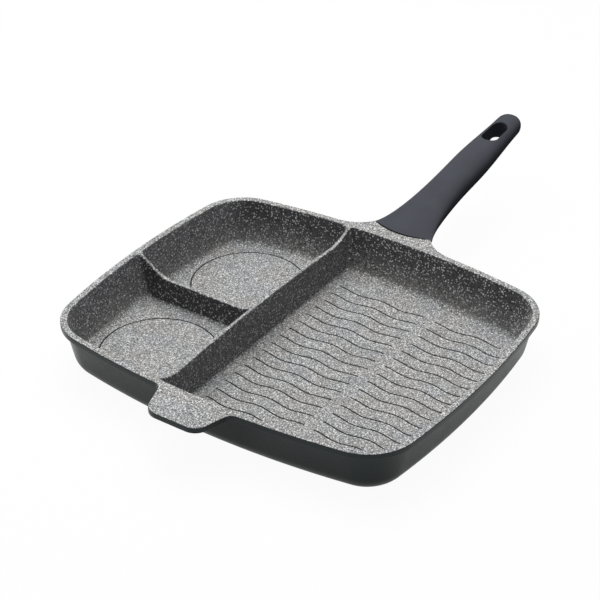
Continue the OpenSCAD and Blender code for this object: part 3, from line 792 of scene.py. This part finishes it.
def slot_cutter():
    """The slot's space: square to the grip, a little wider below, with both mouths rounded."""
    r = SLOT_W / 2
    far = (SLOT_L - SLOT_W) / 2
    outline = joined(arc((0, far), r, 0, 180, 40), arc((0, -far), r, 180, 360, 40))
    out = outward(outline)
    slot_y = GRIP_Y + GRIP_L - SLOT_BACK
    top_z = grip_surface((0, slot_y), 1)
    # From outside a mouth down into the slot: how far out and how deep each ring is
    mouth = [(SLOT_EDGE_R * (1 - cos(a)), SLOT_EDGE_R * (1 - sin(a))) for a in SLOT_EDGE_TURNS]
    lead = SLOT_LEAD * np.array([sin(SLOT_EDGE_TURNS[0]), -cos(SLOT_EDGE_TURNS[0])])
    mouth.insert(0, tuple(np.array(mouth[0]) + lead))
    rings = []
    for side in (1, -1):
        made = []
        for off, deep in mouth:
            wide = off + (SLOT_DEPTH * tan(SLOT_DRAFT) if side < 0 else 0)
            # The slot is square to the grip, so where a ring lies depends on its height, found in rounds
            plan = outline + out * wide + (0, slot_y)
            for _ in range(3):
                z = np.array([grip_surface(p, side) for p in plan]) - side * deep
                plan = outline + out * wide
                plan = plan + np.column_stack([np.zeros(len(z)), slot_y + (top_z - z) * tan(GRIP_ANGLE)])
            made.append(np.column_stack([plan, z]))
        clear_z = grip_surface((0, slot_y), side) + SLOT_CLEAR * side
        cap = np.column_stack([made[0][:, :2], np.full(len(outline), clear_z)])
        made.insert(0, cap)
        rings += made if side > 0 else made[::-1]
    return tube(rings)


def recess_cutter():
    """The space of the screw's recess, square to the tang."""
    tang = np.array([0, SEAM_Y - TANG_ROOT_L, PAN_H - GRIP_ROOT_DROP - TANG_COVER - TANG_T / 2])
    along = np.array([0, cos(GRIP_ANGLE), sin(GRIP_ANGLE)])
    up = np.array([0, -sin(GRIP_ANGLE), cos(GRIP_ANGLE)])
    circle = arc((0, SCREW_AT), RECESS_R, 0, 360, 64)[:-1]
    seat = -TANG_T / 2 - SCREW_SEAT_T
    return tube(
        [tang + circle[:, :1] * (1, 0, 0) + circle[:, 1:] * along + z * up for z in (seat, seat - RECESS_H)]
    )


def make_grip():
    grip = new_object("moulded_grip", grip_skin().mesh("moulded_grip"))
    combine(grip, new_object("slot_cutter", slot_cutter().mesh("slot_cutter")), "DIFFERENCE")
    combine(grip, new_object("recess_cutter", recess_cutter().mesh("recess_cutter")), "DIFFERENCE")
    shade(grip, GRIP_CREASE)
    place(grip, ["handle"])
    return grip


body = make_body()
grip = make_grip()


# Camera: the photograph's direction, distance and framing, about the middle of the rim's plane
AZIMUTH, ELEVATION, ROLL = 34.49, 33.53, -0.14
DISTANCE, SLIDE_X, SLIDE_Y = 1438.8, -0.25, 9.82
FOCAL_PX, IMAGE_PX, SENSOR_MM = 1960.9, 600, 36.0
CLIP_START_M, CLIP_END_M = 0.01, 20.0


def make_camera():
    a, e = AZIMUTH, ELEVATION
    forward = np.array([-sin(a) * cos(e), cos(a) * cos(e), -sin(e)])
    right = np.array([cos(a), sin(a), 0])
    up = np.cross(right, forward)
    right, up = cos(ROLL) * right + sin(ROLL) * up, cos(ROLL) * up - sin(ROLL) * right
    place_mm = -forward * DISTANCE + right * SLIDE_X + up * SLIDE_Y + (0, 0, PAN_H)
    camera = new_object("camera", bpy.data.cameras.new("camera"))
    turn = Matrix(np.column_stack([right, up, -forward]).tolist()).to_4x4()
    camera.matrix_world = Matrix.Translation(Vector(place_mm * MM)) @ turn
    camera.data.lens = FOCAL_PX / IMAGE_PX * SENSOR_MM
    camera.data.sensor_width = SENSOR_MM
    camera.data.clip_start, camera.data.clip_end = CLIP_START_M, CLIP_END_M
    bpy.context.scene.camera = camera


make_camera()


# The smallest fleck's share of the largest one's radius, and the share of its radius where a fleck fades
SMALLEST_FLECK, FLECK_FADE = 0.6, 0.85


class Finish:
    """A procedural material as it is put together. Sizes of its grain are in metres."""

    def __init__(self, name):
        self.material = bpy.data.materials.get(name) or bpy.data.materials.new(name)
        self.material.use_nodes = True
        tree = self.material.node_tree
        self.nodes, self.links = tree.nodes, tree.links
        self.shader = self.nodes["Principled BSDF"]
        self.coords = self.nodes.new("ShaderNodeTexCoord")

    def node(self, kind, **settings):
        made = self.nodes.new("ShaderNode" + kind)
        for key, value in settings.items():
            setattr(made, key, value)
        return made

    def feed(self, socket, value):
        if isinstance(value, bpy.types.NodeSocket):
            self.links.new(value, socket)
        else:
            socket.default_value = value

    def math(self, operation, a, b=0.0):
        made = self.node("Math", operation=operation)
        self.feed(made.inputs[0], a)
        self.feed(made.inputs[1], b)
        return made.outputs[0]

    def times(self, a, b):
        return self.math("MULTIPLY", a, b)

    def ramp(self, value, low, high, to_low=0.0, to_high=1.0, smooth=True):
        made = self.node("MapRange", interpolation_type="SMOOTHSTEP" if smooth else "LINEAR")
        for socket, v in zip(made.inputs[:5], (value, low, high, to_low, to_high)):
            self.feed(socket, v)
        return made.outputs[0]

    def mix(self, share, a, b):
        made = self.node("Mix", data_type="RGBA")
        self.feed(made.inputs["Factor"], share)
        self.feed(made.inputs["A"], a)
        self.feed(made.inputs["B"], b)
        return made.outputs["Result"]

    def scaled(self, colour, share):
        made = self.node("VectorMath", operation="SCALE")
        self.feed(made.inputs[0], colour)
        self.feed(made.inputs["Scale"], share)
        return made.outputs[0]

    def noise(self, size, detail=2.0, offset=(0, 0, 0)):
        made = self.node("TexNoise")
        self.feed(made.inputs["Vector"], self.moved(offset))
        made.inputs["Scale"].default_value = 1 / size
        made.inputs["Detail"].default_value = detail
        return made.outputs[0]

    def moved(self, offset):
        made = self.node("VectorMath", operation="ADD")
        self.links.new(self.coords.outputs["Object"], made.inputs[0])
        made.inputs[1].default_value = offset
        return made.outputs[0]

    def specks(self, size, share, radius, offset, weakest=0.45):
        """Round flecks: in a share of the cells of the given size, a spot of up to that radius in cell
        sizes."""
        made = self.node("TexVoronoi")
        self.feed(made.inputs["Vector"], self.moved(offset))
        made.inputs["Scale"].default_value = 1 / size
        chance = self.node("SeparateColor")
        self.links.new(made.outputs["Color"], chance.inputs["Color"])
        taken = self.math("LESS_THAN", chance.outputs["Red"], share)
        reach = self.times(self.ramp(chance.outputs["Green"], 0, 1, SMALLEST_FLECK, 1.0, False), radius)
        spot = self.ramp(self.math("DIVIDE", made.outputs["Distance"], reach), FLECK_FADE, 1.0, 1.0, 0.0)
        strength = self.ramp(chance.outputs["Blue"], 0, 1, weakest, 1.0, False)
        return self.times(self.times(taken, spot), strength)

    def part_of(self, coords, axis):
        made = self.node("SeparateXYZ")
        self.links.new(self.coords.outputs[coords], made.inputs["Vector"])
        return made.outputs[axis]

    def bump(self, height, depth):
        made = self.node("Bump")
        made.inputs["Distance"].default_value = depth
        self.feed(made.inputs["Height"], height)
        self.links.new(made.outputs["Normal"], self.shader.inputs["Normal"])

    def set(self, **values):
        for key, value in values.items():
            self.feed(self.shader.inputs[key.replace("_", " ").title().replace("Ior", "IOR")], value)


def grey(value, tint=(1, 1, 1)):
    """A grey of that linear value, with its red, green and blue scaled by the tint."""
    return tuple(value * t for t in tint) + (1,)


# Layers of flecks in the coating: the cells' size in metres, the share of them that has a fleck, its radius
# in cell sizes, the pattern's offset, and how strong the weakest is where it isn't the usual
DARK_DENSE = (0.0013, 0.75, 0.42, (3.1, 1.7, 0.4))
DARK_THIN = (0.0019, 0.7, 0.4, (7.7, 2.3, 5.1))
PALE_DENSE = (0.0013, 0.7, 0.42, (1.3, 8.2, 2.9))
PALE_THIN = (0.0018, 0.85, 0.4, (5.9, 4.4, 9.3), 0.75)
DARK_LARGE = (0.0034, 0.16, 0.26, (2.2, 6.1, 3.3))
PALE_LARGE = (0.0030, 0.32, 0.27, (9.4, 3.8, 7.5))

# Tints of the greys
COOL, WARM, GROUND_COOL, GROUND_WARM = (1, 1, 1.04), (1.02, 1, 0.99), (0.975, 1, 1.02), (1.02, 1.005, 0.97)
PLASTIC_TINT = (0.93, 0.97, 1.14)


def coating():
    """Sprayed stone-look coating: dense flecks on what faces up, thin ones on the walls, and painted light
    and shade by which way each face turns.
    """
    look = Finish("coated")
    slope = look.part_of("Normal", "Z")
    height = look.part_of("Object", "Z")
    on_top = look.ramp(height, 0.014, 0.018)
    # Painted light: this mask makes the coating pale where it faces up and dark on the walls, in place of
    # the overhead light's sheen; it also says where the dense flecks lie
    up = look.ramp(slope, look.ramp(on_top, 0, 1, 0.08, 0.68), 0.95, smooth=False)
    wall = look.ramp(slope, 0.04, 0.18)
    low = look.ramp(height, 0.010, 0.034, 1.0, 0.0)
    cloud = look.ramp(look.noise(0.010, 3), 0.35, 0.65, 0.94, 1.06)
    grain = look.ramp(look.noise(0.0008, 1), 0.3, 0.7, 0.5, 1.5)
    tone = look.times(cloud, grain)
    # Painted light: faces that turn left or right get a paler grey than those that turn to the front or
    # back
    painted_side_light = look.ramp(look.math("ABSOLUTE", look.part_of("Normal", "X")), 0.5, 0.9)
    # Painted shade: the dividers' nearly upright faces get a darker grey than the leaning walls
    face = look.mix(painted_side_light, grey(0.072, COOL), grey(0.145, COOL))
    side = look.mix(wall, face, look.mix(painted_side_light, grey(0.088, COOL), grey(0.175, COOL)))
    # Painted bounce light: the walls turn paler and warmer low down, near the bright floor
    side = look.mix(look.times(wall, low), side, grey(0.2, WARM))
    warmth = look.ramp(look.noise(0.028, 2, (0.4, 0.9, 0.2)), 0.35, 0.65)
    painted_lit_ground = look.mix(warmth, grey(0.335, GROUND_COOL), grey(0.33, GROUND_WARM))
    # Painted light and shade: the pale lit ground where the coating faces up, the darker wall greys
    # elsewhere
    colour = look.scaled(look.mix(up, side, painted_lit_ground), tone)

    # Dense flecks lie on what faces up, and thin ones everywhere, a little weaker on the dividers' faces
    thin = look.ramp(wall, 0, 1, 0.85, 1.0)
    dark_dense = look.times(look.specks(*DARK_DENSE), up)
    dark_thin = look.specks(*DARK_THIN)
    colour = look.mix(dark_dense, colour, grey(0.05))
    colour = look.mix(look.times(dark_thin, 0.8), colour, grey(0.02))
    pale_dense = look.times(look.specks(*PALE_DENSE), up)
    pale_thin = look.times(look.specks(*PALE_THIN), thin)
    colour = look.mix(pale_dense, colour, grey(0.9))
    # Painted light: pale flecks are brighter where the surface faces up
    colour = look.mix(pale_thin, colour, look.mix(up, grey(0.75), grey(0.9)))

    # A few larger ones stand out
    colour = look.mix(look.specks(*DARK_LARGE), colour, grey(0.02))
    colour = look.mix(look.times(look.specks(*PALE_LARGE), thin), colour, grey(0.95))

    # Painted shade: the bottom of the engraving is darkened
    painted_groove_shade = look.ramp(height, (BASE_T - 0.6 * LINE_DEEP) * MM, (BASE_T - 0.1) * MM, 0.95, 0.0)
    colour = look.mix(painted_groove_shade, colour, grey(0.02))
    look.set(base_color=colour, roughness=0.5, specular_ior_level=0.1)
    relief = look.math("ADD", look.times(look.noise(0.0009, 2), 0.6), pale_dense)
    look.bump(relief, 0.00003)
    return look.material


def paint():
    """Dark satin paint on the outside."""
    look = Finish("painted")
    cloud = look.ramp(look.noise(0.03, 3), 0.3, 0.7, 0.0, 1.0)
    look.set(
        base_color=look.mix(cloud, grey(0.009, (0.8, 1.0, 1.04)), grey(0.012, (0.8, 1.0, 1.03))),
        roughness=look.ramp(look.noise(0.008, 3), 0.3, 0.7, 0.26, 0.32),
        specular_ior_level=0.34,
        specular_tint=grey(1, (0.85, 1.0, 0.99)),
    )
    look.bump(look.noise(0.0007, 2), 0.00001)
    return look.material


def soft_touch():
    """Matte soft-touch plastic of the grip."""
    look = Finish("soft_touch")
    cloud = look.ramp(look.noise(0.02, 3), 0.3, 0.7, 0.0, 1.0)
    look.set(
        base_color=look.mix(cloud, grey(0.084, PLASTIC_TINT), grey(0.092, PLASTIC_TINT)),
        roughness=look.ramp(look.noise(0.006, 2), 0.3, 0.7, 0.7, 0.78),
        specular_ior_level=0.0,
    )
    look.bump(look.noise(0.0004, 2), 0.00001)
    return look.material


def zinc():
    """Bright zinc of the screw."""
    look = Finish("zinc")
    look.set(
        base_color=look.mix(look.noise(0.002, 3), grey(0.42), grey(0.58)),
        metallic=1.0,
        roughness=look.ramp(look.noise(0.001, 2), 0.3, 0.7, 0.28, 0.4),
    )
    return look.material


def dress(obj, *materials):
    """Gives the object these materials, one for each of its slots."""
    for k, mat in enumerate(materials):
        if k < len(obj.data.materials):
            obj.data.materials[k] = mat
        else:
            obj.data.materials.append(mat)


dress(body, coating(), paint())
plastic = soft_touch()
dress(grip, plastic, plastic)
dress(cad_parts["handle_screw"], zinc())


# Studio: each lamp's place and size in metres, and its power in watts
LAMPS = {
    "overhead": ((-0.22, 0.19, 1.25), (1.4, 1.4), 19),
    "left": ((-1.6, -0.3, 0.8), (0.8, 1.4), 5),
}
AMBIENCE = 0.1

# Floor: how far it reaches each way and its height, in metres, how bright it is for the light on the pan,
# and how much of it shows as plain white to the camera and in a gloss
FLOOR_REACH, FLOOR_Z, FLOOR_BOUNCE = 3.0, -0.0003, 0.15
FLOOR_WHITE, FLOOR_MIRRORED = 0.95, 0.4


def make_lamp(name, location, size, power):
    data = bpy.data.lights.new(name, "AREA")
    data.shape = "RECTANGLE"
    data.size, data.size_y = size
    data.energy = power
    lamp = new_object(name, data)
    aim = Vector(location).to_track_quat("Z", "Y").to_matrix().to_4x4()
    lamp.matrix_world = Matrix.Translation(Vector(location)) @ aim


def by_ray(nodes, links, other, seen, mirrored=None):
    """A value that is seen for what the camera sees, mirrored for what shows in a gloss or through a
    clear piece, and other for the light on the pan."""
    path = nodes.new("ShaderNodeLightPath")
    total = None
    for ray, value in (("Camera", seen), ("Glossy", mirrored), ("Transmission", mirrored)):
        share = nodes.new("ShaderNodeMath")
        share.operation = "MULTIPLY_ADD"
        links.new(path.outputs["Is %s Ray" % ray], share.inputs[0])
        share.inputs[1].default_value = (seen if value is None else value) - other
        share.inputs[2].default_value = other
        if total:
            links.new(total, share.inputs[2])
        total = share.outputs["Value"]
    return total


def make_world():
    world = bpy.data.worlds.new("studio")
    bpy.context.scene.world = world
    world.use_nodes = True
    nodes, links = world.node_tree.nodes, world.node_tree.links
    background = nodes["Background"]
    background.inputs["Color"].default_value = (1, 1, 1, 1)
    links.new(by_ray(nodes, links, AMBIENCE, 1.0), background.inputs["Strength"])


def make_floor():
    """A pale floor that the camera sees mostly as the white of the backdrop, with the pan's soft shadow."""
    r, z = FLOOR_REACH, FLOOR_Z
    corners = [(-r, -r, z), (r, -r, z), (r, r, z), (-r, r, z)]
    mesh = bpy.data.meshes.new("floor")
    mesh.from_pydata(corners, [], [(0, 1, 2, 3)])
    floor = new_object("floor", mesh)
    mat = bpy.data.materials.new("floor")
    mat.use_nodes = True
    nodes, links = mat.node_tree.nodes, mat.node_tree.links
    nodes.clear()
    plain, white = nodes.new("ShaderNodeBsdfDiffuse"), nodes.new("ShaderNodeEmission")
    tone = nodes.new("ShaderNodeCombineColor")
    brightness = by_ray(nodes, links, FLOOR_BOUNCE, 1.0)
    for channel in ("Red", "Green", "Blue"):
        links.new(brightness, tone.inputs[channel])
    links.new(tone.outputs["Color"], plain.inputs["Color"])
    white.inputs["Color"].default_value = (1, 1, 1, 1)
    both, result = nodes.new("ShaderNodeMixShader"), nodes.new("ShaderNodeOutputMaterial")
    links.new(by_ray(nodes, links, 0.0, FLOOR_WHITE, FLOOR_MIRRORED), both.inputs["Fac"])
    links.new(plain.outputs["BSDF"], both.inputs[1])
    links.new(white.outputs["Emission"], both.inputs[2])
    links.new(both.outputs["Shader"], result.inputs["Surface"])
    mesh.materials.append(mat)


for name, (location, size, power) in LAMPS.items():
    make_lamp(name, location, size, power)
make_world()
make_floor()
bpy.context.scene.view_settings.view_transform = "Standard"
